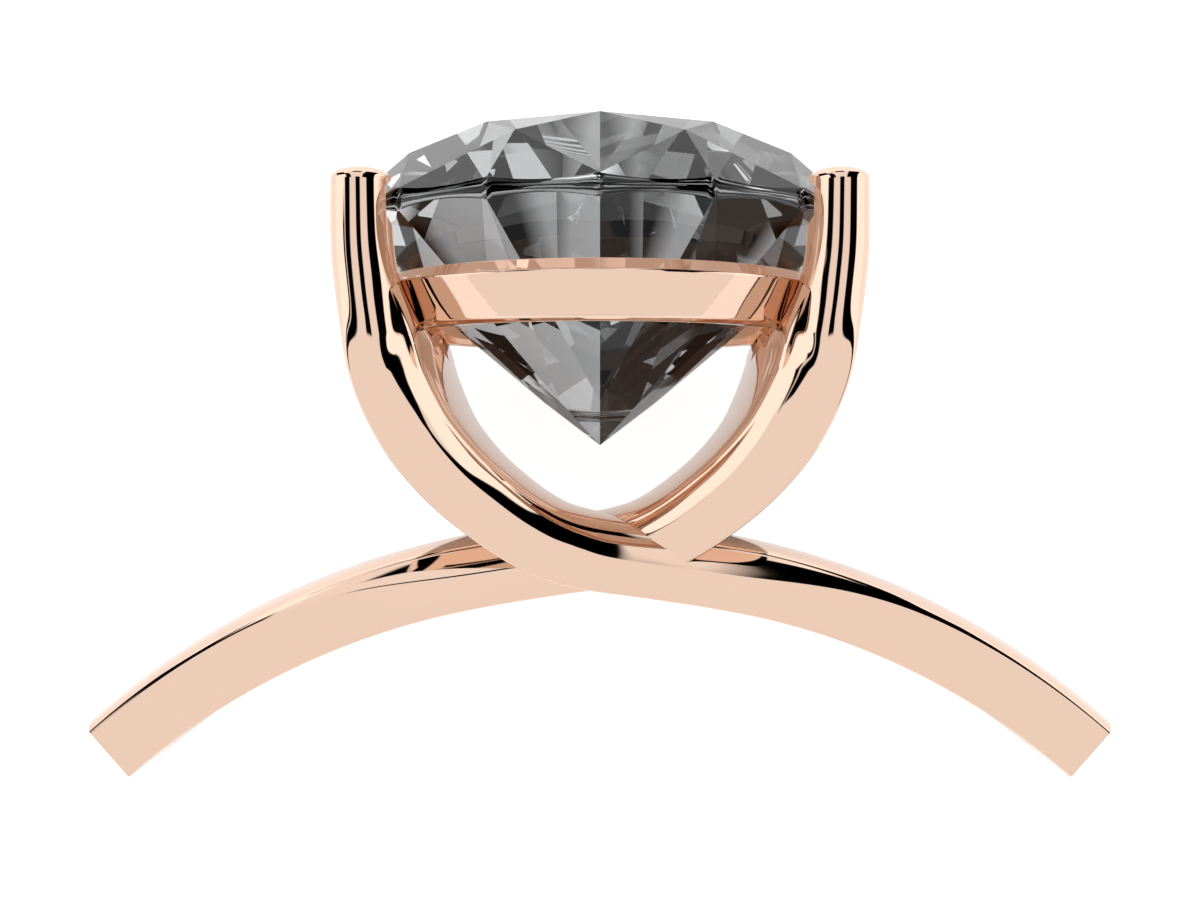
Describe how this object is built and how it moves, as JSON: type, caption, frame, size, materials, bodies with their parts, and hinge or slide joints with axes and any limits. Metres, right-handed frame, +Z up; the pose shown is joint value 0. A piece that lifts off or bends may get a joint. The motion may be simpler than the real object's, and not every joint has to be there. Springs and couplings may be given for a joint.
{
  "type": "solitaire ring head with part shank",
  "caption": "Rose gold solitaire ring head with crossed arms, wire prongs, a gallery rail and a round brilliant stone, on a part shank cut square at both ends.",
  "frame": {"origin": "on the surface that the part lies on, under the middle of its bounding box", "axes": "+X from the left stub to the right one, +Y from the stubs towards the stone, +Z up from the surface; the part lies back on its stub ends and the stone's girdle, so the stone's axis leans 19.6 degrees up from +Y. The finger hole is 17.64 mm across, and its axis runs along (0, 0.335, -0.942) through (0, -0.0102, -0.0014)"},
  "size_m": [0.0128, 0.0084, 0.0062],
  "materials": {
    "gold": "polished",
    "stone": "polished"
  },
  "bodies": {
    "root": {"ring_mount": "gold", "stone": "stone"}
  },
  "joints": []
}
